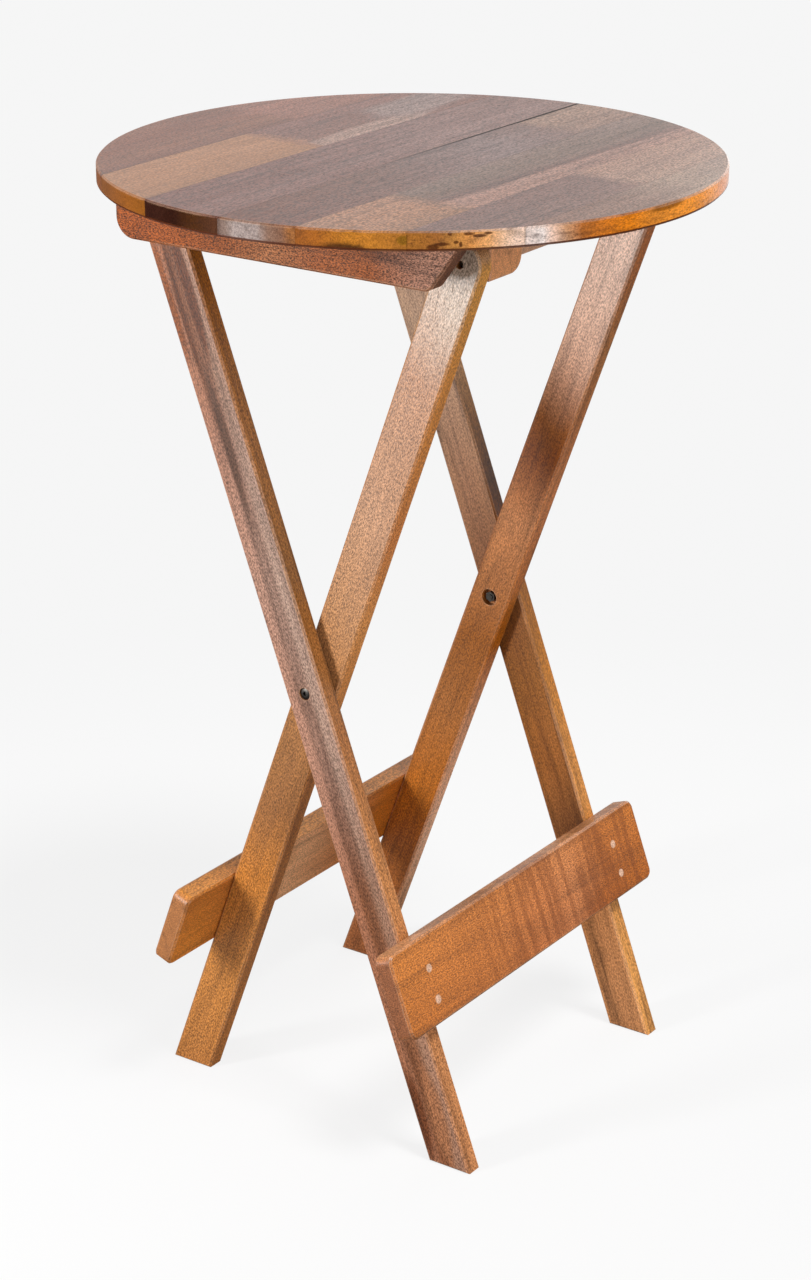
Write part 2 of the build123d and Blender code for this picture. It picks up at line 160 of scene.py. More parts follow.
# Round top: twelve lengths of oiled acacia, 18 mm thick, glued edge to edge in seven rows with the grain
# running front to back, then cut round. Five rows are butt-jointed from two lengths, so every length has its
# own colour and figure.
def oiled_acacia(name, centre, turn, half, stripes, side, end, reach=300.0, along=(), along_share=0.65,
                 slant=0.0, wander=7.0, butt=None, seams=(), seam_opens=None, spots=(), rim=(),
                 rim_sheen=0.10, sheen=0.42, gloss=0.33, figure=1.0, speckle=1.0, grit=1.2, ring=7.0,
                 pith=(20.0, -60.0), ribbon=0.0, ribbon_from=0.0, seed=0):
    """Oiled acacia hardwood, planed and sanded: streaky brown heartwood with open pores under a satin oil.

    Sizes are in mm in the piece's own frame: x across the grain, y along it, z through the broad face.
    half and reach are half its width and half its length. stripes and along give (place, colour) across and
    along the broad faces, side the narrow sides' colour, or theirs along the piece, and end that of its ends.
    rim stands for both where a board meets the round edge. butt is (place, colour beyond it), a seam is
    (place, width, strength) and is faint in front of seam_opens, and a spot is (middle, size, colour).
    sheen is how much the oil reflects and gloss how rough it is. figure, speckle and ribbon are how strongly
    the streaks and rings, the pores and sanding specks, and the ribbon bands show; grit is a speck's size,
    ring the width of a growth ring and pith where the tree's middle was. The colours were worked out from the
    photograph's tone at places on each piece and corrected by comparing renders with it, so some of them
    carry its light and shade.
    """
    made = bpy.data.materials.new(name)
    made.use_nodes = True
    tree = made.node_tree
    tree.nodes.clear()
    where = add(tree, "ShaderNodeTexCoord", {}, {})
    place = add(tree, "ShaderNodeMapping", {"vector_type": "TEXTURE"},
                {"Vector": where.outputs["Object"], "Location": [c / 1000 for c in centre], "Rotation": turn,
                 "Scale": (0.001, 0.001, 0.001)}).outputs[0]
    facing = add(tree, "ShaderNodeMapping", {"vector_type": "TEXTURE"},
                 {"Vector": where.outputs["Normal"], "Rotation": turn}).outputs[0]
    share = add(tree, "ShaderNodeVectorMath", {"operation": "MULTIPLY"}, {0: facing, 1: facing})
    share = add(tree, "ShaderNodeSeparateXYZ", {}, {0: share.outputs[0]})
    spot = add(tree, "ShaderNodeSeparateXYZ", {}, {0: place})
    deep_brown = linear("#3a2015")

    # Slow bends of the grain, streaks about 9 mm wide, fibres 1.3 mm wide, pores 0.9 mm wide and 5 mm long.
    # Real fibres and pores are under 0.3 mm wide, which would not show, so they are drawn this coarse
    def grain(wide, long, detail, roughness=0.5):
        moved = add(tree, "ShaderNodeVectorMath", {"operation": "MULTIPLY_ADD"},
                    {0: place, 1: (1 / wide, 1 / long, 1 / wide), 2: (seed * 7.31, seed * 3.17, seed * 1.93)})
        return add(tree, "ShaderNodeTexNoise", {"noise_dimensions": "3D"},
                   {"Vector": moved.outputs[0], "Scale": 1.0, "Detail": detail,
                    "Roughness": roughness}).outputs[0]

    bend = grain(60, 380, 2)
    streak = grain(9, 300, 3, 0.6)
    fibre = grain(1.3, 55, 2)
    pore = grain(0.9, 5, 1)
    sand = grain(grit, 2.2 * grit, 2)
    patch = grain(22, 120, 2)

    # Colour across the piece, along a line that wanders and may slant
    across = add(tree, "ShaderNodeMath", {"operation": "MULTIPLY_ADD"},
                 {0: spot.outputs[1], 1: slant, 2: spot.outputs[0]})
    sway = add(tree, "ShaderNodeMath", {"operation": "MULTIPLY_ADD"}, {0: bend, 1: 2 * wander, 2: -wander})
    across = add(tree, "ShaderNodeMath", {"operation": "ADD"}, {0: across.outputs[0], 1: sway.outputs[0]})
    ripple = add(tree, "ShaderNodeMath", {"operation": "MULTIPLY_ADD"},
                 {0: streak, 1: wander, 2: -wander / 2})
    across = add(tree, "ShaderNodeMath", {"operation": "ADD"}, {0: across.outputs[0], 1: ripple.outputs[0]})
    drift = 90.0
    run = add(tree, "ShaderNodeMath", {"operation": "MULTIPLY_ADD"}, {0: bend, 1: drift, 2: spot.outputs[1]})
    run = add(tree, "ShaderNodeMath", {"operation": "SUBTRACT"}, {0: run.outputs[0], 1: drift / 2})
    round_rim = add(tree, "ShaderNodeMath", {"operation": "MULTIPLY_ADD"},
                    {0: patch, 1: 8.0, 2: spot.outputs[0]})

    # Blends of colours by place: across the broad faces, along them, along the narrow sides, round the rim
    tones = {}
    if isinstance(side, str):
        side = [(-1, side), (1, side)]
    for part, stops, at, far in (("across", stripes, across, half), ("along", along, run, reach),
                                 ("side", () if rim else side, run, reach), ("rim", rim, round_rim, half)):
        if stops:
            reached = add(tree, "ShaderNodeMapRange", {},
                          {"Value": at.outputs[0], "From Min": -far, "From Max": far})
            ramp = add(tree, "ShaderNodeValToRGB", {}, {"Fac": reached.outputs[0]})
            steps = ramp.color_ramp.elements
            while len(steps) < len(stops):
                steps.new(0.5)
            for step, (stop, code) in zip(steps, stops):
                step.position = (stop + far) / (2 * far)
                step.color = linear(code)
            tones[part] = ramp.outputs[0]
    colour = tones["across"]
    if along:
        colour = add(tree, "ShaderNodeMix", {"data_type": "RGBA"},
                     {0: along_share, 6: colour, 7: tones["along"]}).outputs[2]
    colour = add(tree, "ShaderNodeMix", {"data_type": "RGBA"},
                 {0: share.outputs[0], 6: colour, 7: tones["rim"] if rim else tones["side"]}).outputs[2]
    colour = add(tree, "ShaderNodeMix", {"data_type": "RGBA"},
                 {0: share.outputs[1], 6: colour, 7: tones["rim"] if rim else linear(end)}).outputs[2]

    # Butt joint: the next length's colour shows through in ragged tongues up to about 25 mm long
    joints = []
    if butt:
        joint_at, beyond = butt
        joint = add(tree, "ShaderNodeMath", {"operation": "SUBTRACT"}, {0: spot.outputs[1], 1: joint_at})
        joint = add(tree, "ShaderNodeMath", {"operation": "ABSOLUTE"}, {0: joint.outputs[0]}).outputs[0]
        joints.append(joint)
        tongue = add(tree, "ShaderNodeMath", {"operation": "MULTIPLY_ADD"}, {0: patch, 1: 44.0, 2: -8.0})
        tongue = add(tree, "ShaderNodeMapRange", {"interpolation_type": "SMOOTHSTEP"},
                     {"Value": joint, "From Min": tongue.outputs[0], "From Max": 0.0, "To Max": 0.5})
        tongue = add(tree, "ShaderNodeMath", {"operation": "MULTIPLY"},
                     {0: tongue.outputs[0], 1: share.outputs[2]})
        colour = add(tree, "ShaderNodeMix", {"data_type": "RGBA"},
                     {0: tongue.outputs[0], 6: colour, 7: linear(beyond)}).outputs[2]

    # Knots, blotches and worm marks, with ragged edges
    ragged, spot_strength = 0.9, 0.85
    for middle, size, code in spots:
        off = add(tree, "ShaderNodeVectorMath", {"operation": "SUBTRACT"}, {0: place, 1: middle})
        off = add(tree, "ShaderNodeVectorMath", {"operation": "DIVIDE"}, {0: off.outputs[0], 1: size})
        off = add(tree, "ShaderNodeVectorMath", {"operation": "LENGTH"}, {0: off.outputs[0]})
        off = add(tree, "ShaderNodeMath", {"operation": "MULTIPLY_ADD"},
                  {0: patch, 1: ragged, 2: off.outputs["Value"]})
        off = add(tree, "ShaderNodeMapRange", {"interpolation_type": "SMOOTHSTEP"},
                  {"Value": off.outputs[0], "From Min": 1.5, "From Max": 1.0, "To Max": spot_strength})
        colour = add(tree, "ShaderNodeMix", {"data_type": "RGBA"},
                     {0: off.outputs[0], 6: colour, 7: linear(code)}).outputs[2]

    # Growth rings round the pith: arcs on the end grain, long lines on the faces
    core = add(tree, "ShaderNodeVectorMath", {"operation": "SUBTRACT"}, {0: place, 1: (pith[0], 0, pith[1])})
    core = add(tree, "ShaderNodeVectorMath", {"operation": "MULTIPLY"}, {0: core.outputs[0], 1: (1, 0, 1)})
    core = add(tree, "ShaderNodeVectorMath", {"operation": "LENGTH"}, {0: core.outputs[0]})
    core = add(tree, "ShaderNodeMath", {"operation": "MULTIPLY_ADD"},
               {0: patch, 1: 26.0, 2: core.outputs["Value"]})
    core = add(tree, "ShaderNodeMath", {"operation": "MULTIPLY_ADD"}, {0: bend, 1: 30.0, 2: core.outputs[0]})
    rings = add(tree, "ShaderNodeMath", {"operation": "PINGPONG"}, {0: core.outputs[0], 1: ring})
    rings = add(tree, "ShaderNodeMapRange", {}, {"Value": rings.outputs[0], "From Max": ring})

    # Dark streaks, rings and pores sink towards the heartwood's deep brown
    dark = add(tree, "ShaderNodeMapRange", {"interpolation_type": "SMOOTHSTEP"},
               {"Value": streak, "From Min": 0.52, "From Max": 0.28, "To Max": 0.55 * figure})
    line = add(tree, "ShaderNodeMapRange", {"interpolation_type": "SMOOTHSTEP"},
               {"Value": rings.outputs[0], "From Min": 0.62, "From Max": 1.0, "To Max": 0.28 * figure})
    dark = add(tree, "ShaderNodeMath", {"operation": "ADD"}, {0: dark.outputs[0], 1: line.outputs[0]})
    colour = add(tree, "ShaderNodeMix", {"data_type": "RGBA"},
                 {0: dark.outputs[0], 6: colour, 7: deep_brown}).outputs[2]
    open_pore = add(tree, "ShaderNodeMapRange", {"interpolation_type": "SMOOTHSTEP"},
                    {"Value": pore, "From Min": 0.44, "From Max": 0.30, "To Max": 0.26 * speckle})
    colour = add(tree, "ShaderNodeMix", {"data_type": "RGBA"},
                 {0: open_pore.outputs[0], 6: colour, 7: deep_brown}).outputs[2]

    # Fibres, sanding speckle and slow patches lift and drop the tone. The rim was cut smoother than the faces
    value = add(tree, "ShaderNodeMath", {"operation": "MULTIPLY_ADD"}, {0: fibre, 1: 0.55, 2: 0.725})
    grains = add(tree, "ShaderNodeMapRange", {"interpolation_type": "SMOOTHSTEP"},
                 {"Value": sand, "From Min": 0.3, "From Max": 0.7, "To Min": -0.3 * speckle,
                  "To Max": 0.3 * speckle})
    loud = add(tree, "ShaderNodeMapRange", {}, {"Value": share.outputs[2], "To Min": 0.4 if rim else 1.0})
    value = add(tree, "ShaderNodeMath", {"operation": "MULTIPLY_ADD"},
                {0: grains.outputs[0], 1: loud.outputs[0], 2: value.outputs[0]})
    value = add(tree, "ShaderNodeMath", {"operation": "MULTIPLY_ADD"},
                {0: patch, 1: 0.30, 2: value.outputs[0]})
    value = add(tree, "ShaderNodeMath", {"operation": "SUBTRACT"}, {0: value.outputs[0], 1: 0.15})
    colour = add(tree, "ShaderNodeHueSaturation", {}, {"Color": colour, "Value": value.outputs[0]}).outputs[0]

    # Ribbon figure: dark bands across the grain, 15 to 30 mm apart, where the fibres wave. It fades in over
    # 190 mm round ribbon_from
    if ribbon:
        band = grain(110, 9, 2, 0.55)
        band = add(tree, "ShaderNodeMapRange", {"interpolation_type": "SMOOTHSTEP"},
                   {"Value": band, "From Min": 0.60, "From Max": 0.38, "To Max": ribbon})
        near = add(tree, "ShaderNodeMapRange", {"interpolation_type": "SMOOTHSTEP"},
                   {"Value": spot.outputs[1], "From Min": ribbon_from - 70, "From Max": ribbon_from + 120})
        band = add(tree, "ShaderNodeMath", {"operation": "MULTIPLY"},
                   {0: band.outputs[0], 1: near.outputs[0]})
        colour = add(tree, "ShaderNodeMix", {"data_type": "RGBA"},
                     {0: band.outputs[0], 6: colour, 7: linear("#70360f")}).outputs[2]

    # Paler edges, but not along a glued joint: partly wear, where the oil is rubbed thin, and partly a
    # painted highlight along the rounded arrises
    worn_and_lit_width = 0.0022
    rounded = add(tree, "ShaderNodeBevel", {"samples": 4}, {"Radius": worn_and_lit_width})
    flat = add(tree, "ShaderNodeNewGeometry", {}, {})
    edge = add(tree, "ShaderNodeVectorMath", {"operation": "DOT_PRODUCT"},
               {0: rounded.outputs[0], 1: flat.outputs["Normal"]})
    edge = add(tree, "ShaderNodeMapRange", {},
               {"Value": edge.outputs["Value"], "From Min": 0.995, "From Max": 0.90, "To Max": 0.55})
    worn_and_lit = add(tree, "ShaderNodeMapRange", {}, {"Value": patch, "From Min": 0.35, "From Max": 0.6})
    worn_and_lit = add(tree, "ShaderNodeMath", {"operation": "MULTIPLY"}, {0: edge.outputs[0], 1: worn_and_lit.outputs[0]})
    from_seams = []
    for at, *_ in seams:
        from_seam = add(tree, "ShaderNodeMath", {"operation": "SUBTRACT"}, {0: spot.outputs[0], 1: at})
        from_seam = add(tree, "ShaderNodeMath", {"operation": "ABSOLUTE"}, {0: from_seam.outputs[0]})
        from_seams.append(from_seam.outputs[0])
    for joint in joints + from_seams:
        clear = add(tree, "ShaderNodeMapRange", {}, {"Value": joint, "From Min": 2.5, "From Max": 3.5})
        worn_and_lit = add(tree, "ShaderNodeMath", {"operation": "MULTIPLY"},
                   {0: worn_and_lit.outputs[0], 1: clear.outputs[0]})
    colour = add(tree, "ShaderNodeMix", {"data_type": "RGBA"},
                 {0: worn_and_lit.outputs[0], 6: colour, 7: linear("#c99e7c")}).outputs[2]

    # Glue lines: dark and dull, and stronger towards the rear where a seam has opened
    gaps = []
    for from_seam, (_, width, strength) in zip(from_seams, seams):
        gap = add(tree, "ShaderNodeMapRange", {"interpolation_type": "SMOOTHSTEP"},
                  {"Value": from_seam, "From Min": width, "From Max": width * 0.5, "To Max": strength})
        if seam_opens is not None:
            back = add(tree, "ShaderNodeMath", {"operation": "MULTIPLY_ADD"},
                       {0: pore, 1: 150.0, 2: spot.outputs[1]})
            back = add(tree, "ShaderNodeMapRange", {},
                       {"Value": back.outputs[0], "From Min": seam_opens, "From Max": seam_opens + 160,
                        "To Min": 0.15})
            gap = add(tree, "ShaderNodeMath", {"operation": "MULTIPLY"},
                      {0: gap.outputs[0], 1: back.outputs[0]})
        gaps.append(gap)
        colour = add(tree, "ShaderNodeMix", {"data_type": "RGBA"},
                     {0: gap.outputs[0], 6: colour, 7: linear("#1c0f0a")}).outputs[2]

    # Painted shade: a dark line along the rim's lower arris, for the shade where the rim overhangs the
    # battens
    if rim:
        low = add(tree, "ShaderNodeMapRange", {"interpolation_type": "SMOOTHSTEP"},
                  {"Value": spot.outputs[2], "From Min": -6.0, "From Max": -7.6, "To Max": 1.6})
        upright = add(tree, "ShaderNodeMath", {"operation": "ADD"},
                      {0: share.outputs[0], 1: share.outputs[1]})
        low = add(tree, "ShaderNodeMath", {"operation": "MULTIPLY", "use_clamp": True},
                  {0: low.outputs[0], 1: upright.outputs[0]})
        colour = add(tree, "ShaderNodeMix", {"data_type": "RGBA"},
                     {0: low.outputs[0], 6: colour, 7: linear("#4a1f08")}).outputs[2]

    # Satin oil over fibres that stand a little proud and pores that stay open, rougher on the end grain
    rough = add(tree, "ShaderNodeMapRange", {},
                {"Value": fibre, "To Min": gloss + 0.09, "To Max": gloss - 0.07})
    rough = add(tree, "ShaderNodeMath", {"operation": "MULTIPLY_ADD"},
                {0: open_pore.outputs[0], 1: 0.25, 2: rough.outputs[0]})
    rough = add(tree, "ShaderNodeMath", {"operation": "MULTIPLY_ADD"},
                {0: share.outputs[1], 1: 0.06, 2: rough.outputs[0]})
    height = add(tree, "ShaderNodeMath", {"operation": "MULTIPLY_ADD"}, {0: sand, 1: 0.5, 2: fibre})
    height = add(tree, "ShaderNodeMath", {"operation": "SUBTRACT"},
                 {0: height.outputs[0], 1: open_pore.outputs[0]})
    relief = add(tree, "ShaderNodeBump", {},
                 {"Height": height.outputs[0], "Strength": 0.45, "Distance": 0.0002})
    wood = add(tree, "ShaderNodeBsdfPrincipled", {},
               {"Base Color": colour, "Roughness": rough.outputs[0], "Normal": relief.outputs[0], "IOR": 1.5,
                "Specular IOR Level": sheen})
    if rim or seams:
        shine = add(tree, "ShaderNodeMapRange", {},
                    {"Value": share.outputs[2], "To Min": rim_sheen if rim else sheen, "To Max": sheen})
        for gap in gaps:
            shut = add(tree, "ShaderNodeMath", {"operation": "SUBTRACT"}, {0: 1.0, 1: gap.outputs[0]})
            shine = add(tree, "ShaderNodeMath", {"operation": "MULTIPLY"},
                        {0: shine.outputs[0], 1: shut.outputs[0]})
        tree.links.new(shine.outputs[0], wood.inputs["Specular IOR Level"])
    add(tree, "ShaderNodeOutputMaterial", {}, {"Surface": wood.outputs[0]})
    return made


def dress(node, material):
    """Gives a node of the frame its finish."""
    node = nodes[node]
    node.data.materials.clear()
    node.data.materials.append(material)


board_middle_height = 951
tight_seam = (0.8, 0.3)
worn_seam = (0.8, 0.35)


def board(row, middle, half, stripes, edge="#8a5426", left=tight_seam, right=tight_seam, speckle=1.8,
          **looks):
    """Finishes one length of the top. Its middle and half width are in mm from the top's middle line.

    edge is the colour of its cut sides where no rim is given. left and right are its seams: width, strength.
    """
    seams = [(sign * half, *seam) for sign, seam in ((-1, left), (1, right)) if seam]
    dress("top_board_" + row, oiled_acacia(
        "acacia_board_" + row, (middle, 0, board_middle_height), (0, 0, 0), half, stripes, edge, edge,
        seams=seams, speckle=speckle, grit=1.5, **looks))


# Row by row from the left: each length's colours across it, on the top and round the rim
board("1_front", -244.5, 55.5, [(-55, "#86543e"), (-10, "#854f38"), (30, "#8b573e"), (54, "#7a4a37")],
      edge="#80481a", left=None, right=worn_seam, butt=(72.0, "#9d6653"), figure=0.7, pith=(10, -40), seed=1)
board("1_rear", -244.5, 55.5, [(-55, "#9f6b58"), (0, "#9d6653"), (54, "#93604e")],
      left=None, butt=(72.0, "#85503a"), figure=0.6, pith=(-30, 70), seed=2)
board("2_front", -141.75, 47.25, [(-47, "#b07a54"), (0, "#b07952"), (46, "#a4704a")],
      rim=[(-47, "#5c3004"), (-15, "#6a3804"), (15, "#7e4400"), (46, "#7c4604")], rim_sheen=0.06,
      butt=(-12.9, "#87594c"), speckle=1.1, figure=0.3, pith=(0, 90), seed=3)
board("2_rear", -141.75, 47.25, [(-47, "#87594c"), (0, "#7e5446"), (46, "#86594a")],
      butt=(-12.9, "#b07952"), figure=0.6, pith=(-15, -45), seed=4,
      spots=[((41, 78, 9), (23, 118, 40), "#b69282"), ((8, 200, 9), (38, 95, 40), "#9a8078")])
board("3", -47.25, 47.25, [(-47, "#73473b"), (-25, "#84594d"), (0, "#774c40"), (18, "#936c62"),
                           (46, "#80584c")],
      rim=[(-47, "#1e0602"), (0, "#240b02"), (24, "#3e2006"), (46, "#4c2a16")], rim_sheen=0.02,
      along=[(-290, "#7a4c40"), (-120, "#7a5044"), (90, "#94726a"), (290, "#8a6a60")], along_share=0.5,
      left=worn_seam, right=(2.4, 0.95), seam_opens=0, figure=0.75, pith=(12, -50), seed=5)
board("4_front", 38.7, 38.7, [(-38, "#70402b"), (0, "#774c3e"), (38, "#845c50")],
      rim=[(-38, "#44220f"), (-26, "#7a6256"), (-16, "#90807a"), (8, "#8e7e78"), (18, "#80604e"),
           (30, "#7c5640"), (38, "#935c2c")],
      along=[(-290, "#6a3822"), (-100, "#785548"), (80, "#907a76"), (200, "#7c5a4c")],
      left=(2.0, 0.85), seam_opens=0, butt=(180.9, "#9c7868"), figure=0.7, pith=(-20, -40), seed=6)
board("4_rear", 38.7, 38.7, [(-38, "#a07c67"), (38, "#987462")],
      left=(2.6, 0.95), butt=(180.9, "#7c5a4c"), figure=0.4, pith=(30, 80), seed=7)
board("5_front", 122.25, 44.85, [(-44, "#ad7c5f"), (0, "#ad7a5a"), (44, "#a57555")],
      rim=[(-44, "#85480c"), (-22, "#9a5606"), (4, "#b4700c"), (20, "#b4700a"), (44, "#a8680a")],
      butt=(-147.9, "#846354"), figure=0.4, pith=(5, -40), seed=8,
      spots=[((-3, -276, -10), (27, 20, 10), "#240c03"), ((42, -251, 1), (6, 9, 5), "#7a5410")])
board("5_rear", 122.25, 44.85, [(-44, "#86695c"), (-20, "#785d4e"), (0, "#7e5f50"), (13, "#774f42"),
                                (17, "#a87d6c"), (44, "#a67a68")],
      slant=-0.043, wander=3.0, butt=(-147.9, "#ad7a5a"), figure=0.6, pith=(-25, -60), seed=9)
worm_marks = (((-19, -236, -5), (6, 8, 3)), ((-13, -231, -2.5), (8, 9, 2)), ((-8, -227, 6.5), (2.5, 4, 2.5)),
              ((-4, -223, -1), (3, 4, 2)), ((-1, -220, -3), (1.6, 3, 3.5)), ((4, -216, 6), (5, 7, 1.7)),
              ((11, -209, 4), (7, 8, 1.7)), ((16, -203, 6), (3.5, 5, 1.4)))
# The front length of row 6: its rim pales to near white towards the right, which is a painted highlight
board("6_front", 204.6, 37.5, [(-37, "#855f53"), (0, "#78564b"), (37, "#8a6659")],
      rim=[(-37, "#a86808"), (-26, "#a8680c"), (-12, "#a4641a"), (0, "#c08232"), (10, "#e89a48"),
           (20, "#ffb870"), (30, "#ffd0a8"), (37, "#ffdcc4")],
      butt=(21.9, "#ac8570"), figure=0.6, pith=(20, -45), seed=10,
      spots=[(*mark, "#4a2004") for mark in worm_marks])
board("6_rear", 204.6, 37.5, [(-37, "#aa806c"), (37, "#ae8a76")],
      butt=(21.9, "#7c584c"), figure=0.45, pith=(0, 80), seed=11)
# Row 7: the left part of its rim is near white, a painted highlight that carries on from row 6
board("7", 271.05, 28.95, [(-28, "#8d6553"), (0, "#93705f"), (28, "#a98a76")],
      rim=[(-28, "#ffe8dc"), (-15, "#fff2ec"), (-10, "#fcd8c4"), (-3, "#d8a074"), (4, "#b8681c"),
           (14, "#d8780c"), (22, "#e07e04"), (28, "#f09430")],
      along=[(-200, "#8a6250"), (-40, "#8f6a58"), (60, "#bc9f8a"), (200, "#a88a78")],
      right=None, figure=0.7, pith=(-15, -50), seed=12, spots=[((27, -28, 7), (8, 34, 5), "#824a08")])

# Battens: two rails of the same wood, 20 mm thick, on edge under the top outside the legs. Each is screwed up
# into the boards from counterbores, and its left end carries the bolt that the top turns on.
batten_middle, batten_side = -20, 192.5
batten_half_height = 24
on_edge = (math.pi / 2, math.pi / 2, 0)
under_top = 918
dress("batten_front", oiled_acacia(
    "acacia_batten_front", (batten_middle, -batten_side, under_top), on_edge, batten_half_height,
    [(-24, "#8c4a1e"), (24, "#84441e")], "#6f3f1f", "#552c12", reach=190,
    along=[(-170, "#92460a"), (-60, "#743a0a"), (0, "#8c5c38"), (60, "#84481e"), (120, "#7c4012"),
           (170, "#94705e")],
    sheen=0.23, gloss=0.6, speckle=2.6, grit=0.9, seed=13))
dress("batten_rear", oiled_acacia(
    "acacia_batten_rear", (batten_middle, batten_side, under_top), on_edge, batten_half_height,
    [(-24, "#945c36"), (24, "#8a5438")], "#84522f", "#552c12", seed=14))

# Catch blocks: two hook-shaped blocks of the same wood, screwed under the top just inside the legs. Their
# mouths drop over the cross dowel and hold the table open.
block_middle, block_side = 160, 114
for block, y, side, end, seed in (("front", -block_side, "#cc8a58", "#d8925c", 15),
                                  ("rear", block_side, "#e09058", "#e89860", 16)):
    dress("catch_block_" + block, oiled_acacia(
        "acacia_catch_" + block, (block_middle, y, under_top), on_edge, batten_half_height,
        [(-24, "#b07c58"), (24, "#a87050")], side, end, figure=0.7, seed=seed))

# Outer frame: two legs of the same wood, 45 by 20 mm, with half-round tops and level feet. They stand outside
# the inner pair with their feet on the right, and a broad rail is screwed over their narrow faces.
foot_reach = 171
hinge_reach, hinge_height = 162.5, 911.5
lean = math.atan2(foot_reach + hinge_reach, hinge_height)
leg_half_width, leg_half_length = 22.5, 485.3
outer_leg_side = 172
rail_half_thickness = 10
outer_rail_up = 195


def leg_middle(stance, y):
    """The middle of a leg's axis in mm: stance is 1 for feet on the right and -1 for feet on the left."""
    return stance * (foot_reach - leg_half_length * math.sin(lean)), y, leg_half_length * math.cos(lean)


def rail_middle(stance, up):
    """The middle of a rail on the legs' narrow faces, so far up along them from the floor."""
    out = leg_half_width + rail_half_thickness
    return (stance * (foot_reach - up * math.sin(lean) + out * math.cos(lean)), 0,
            up * math.cos(lean) + out * math.sin(lean))


dress("leg_outer_front", oiled_acacia(
    "acacia_leg_outer_front", leg_middle(1, -outer_leg_side), (math.pi / 2, -lean, 0), leg_half_width,
    [(-22, "#ab755c"), (-12, "#ac7a62"), (-5, "#6c4a3a"), (4, "#705244"), (12, "#a08878"), (22, "#a88a7a")],
    [(-440, "#bf7f4f"), (-185, "#bf7f4a"), (-35, "#a2683a"), (115, "#a26c34"), (265, "#c6813f"),
     (415, "#9c5a10")],
    "#6f3d1c", reach=485,
    along=[(-480, "#9c5c30"), (-300, "#94582c"), (-185, "#864c24"), (-60, "#9a7462"), (120, "#a88878"),
           (265, "#8a6452"), (350, "#7a4828"), (480, "#7c4218")], along_share=0.5,
    spots=[((-1, 262, 0), (7, 100, 30), "#503628"), ((9, 425, 0), (7, 95, 30), "#5c2c10"),
           ((-17, 425, 0), (6, 90, 30), "#84461c"), ((-7, 400, 0), (4, 90, 30), "#5a3018"),
           ((-17, -425, 0), (10, 70, 30), "#663416"), ((5, -428, 0), (13, 70, 30), "#a46c48")],
    wander=3.0, sheen=0.24, figure=0.8, speckle=1.7, seed=17))
# The outer rear leg: on its narrow sides, the dark stretch above the middle is painted shade and the pale
# grey near the top a painted highlight; on its faces, the dark stretch round the middle is the inner front
# leg's painted shadow and the paler top a painted highlight
dress("leg_outer_rear", oiled_acacia(
    "acacia_leg_outer_rear", leg_middle(1, outer_leg_side), (math.pi / 2, -lean, 0), leg_half_width,
    [(-22, "#905e34"), (0, "#8c5c3c"), (22, "#9c6c46")],
    [(-425, "#dc9951"), (-185, "#c4823f"), (-85, "#b8742a"), (70, "#8c5010"), (135, "#643606"),
     (200, "#8c5820"), (250, "#b88450"), (295, "#c49a78"), (480, "#c8a284")],
    "#6f3d1c", reach=485,
    along=[(-425, "#cc8c58"), (-185, "#a66222"), (-85, "#88500f"), (0, "#74400c"), (135, "#9a7054"),
           (295, "#a88e76"), (400, "#b8947a")],
    sheen=0.3, figure=0.9, speckle=1.3, seed=18))
dress("foot_rail_outer", oiled_acacia(
    "acacia_rail_outer", rail_middle(1, outer_rail_up), (0, math.pi / 2 - lean, 0), 45,
    [(-44, "#c57838"), (0, "#bd6e34"), (44, "#9c5220")], "#b98258", "#935a38", reach=225,
    along=[(-225, "#c8792e"), (-60, "#c67a3c"), (40, "#c27846"), (90, "#cc8656"), (145, "#a85c1c"),
           (225, "#b8660f")], along_share=0.5,
    figure=0.5, speckle=1.6, ring=11, ribbon=0.45, ribbon_from=-115, seed=19))

# Inner frame: the second pair of legs, between the outer pair and leaning the other way, with their own rail.
# The cross dowel, 22 mm thick, is housed in their tops and screwed from outside.
inner_leg_side = 151
inner_rail_up = 198.5
# The inner front leg's faces turn pale grey near the top, which is a painted highlight, and are darker
# between the crossing and the rail, which is painted shade
dress("leg_inner_front", oiled_acacia(
    "acacia_leg_inner_front", leg_middle(-1, -inner_leg_side), (math.pi / 2, lean, 0), leg_half_width,
    [(-22, "#c68c58"), (0, "#c68e5e"), (22, "#c48852")],
    [(-480, "#b87436"), (0, "#c07a3c"), (115, "#d88f4c"), (215, "#c97a3b"), (365, "#d18638"),
     (480, "#d1903c")],
    "#a06424", reach=485,
    along=[(-480, "#b57130"), (-290, "#bd792e"), (-215, "#b87022"), (-135, "#865224"), (0, "#a6703c"),
           (75, "#a9774c"), (215, "#b4886a"), (365, "#a67658"), (450, "#b4a494")], along_share=0.8,
    figure=0.4, speckle=1.6, seed=20))
# The inner rear leg: the pale stretch low on its narrow sides is a painted highlight, the dark band across
# its faces above the middle is the outer front leg's painted shadow, and their pale top a painted highlight
dress("leg_inner_rear", oiled_acacia(
    "acacia_leg_inner_rear", leg_middle(-1, inner_leg_side), (math.pi / 2, lean, 0), leg_half_width,
    [(-22, "#ab6c3c"), (0, "#a86836"), (22, "#a06030")],
    [(-425, "#a86c3a"), (-285, "#ffc49c"), (-135, "#de9c70"), (-35, "#bd6810"), (115, "#c57946"),
     (215, "#b9713f"), (315, "#a86a36"), (415, "#a8602a")],
    "#84501e", reach=485,
    along=[(-425, "#985a34"), (-285, "#c47018"), (-135, "#a06430"), (-35, "#8a4e12"), (115, "#bc7c4c"),
           (190, "#8e460c"), (225, "#98541a"), (290, "#c4987e"), (415, "#d6b6a2")], along_share=0.8,
    sheen=0.36, figure=0.7, speckle=1.4, seed=21))
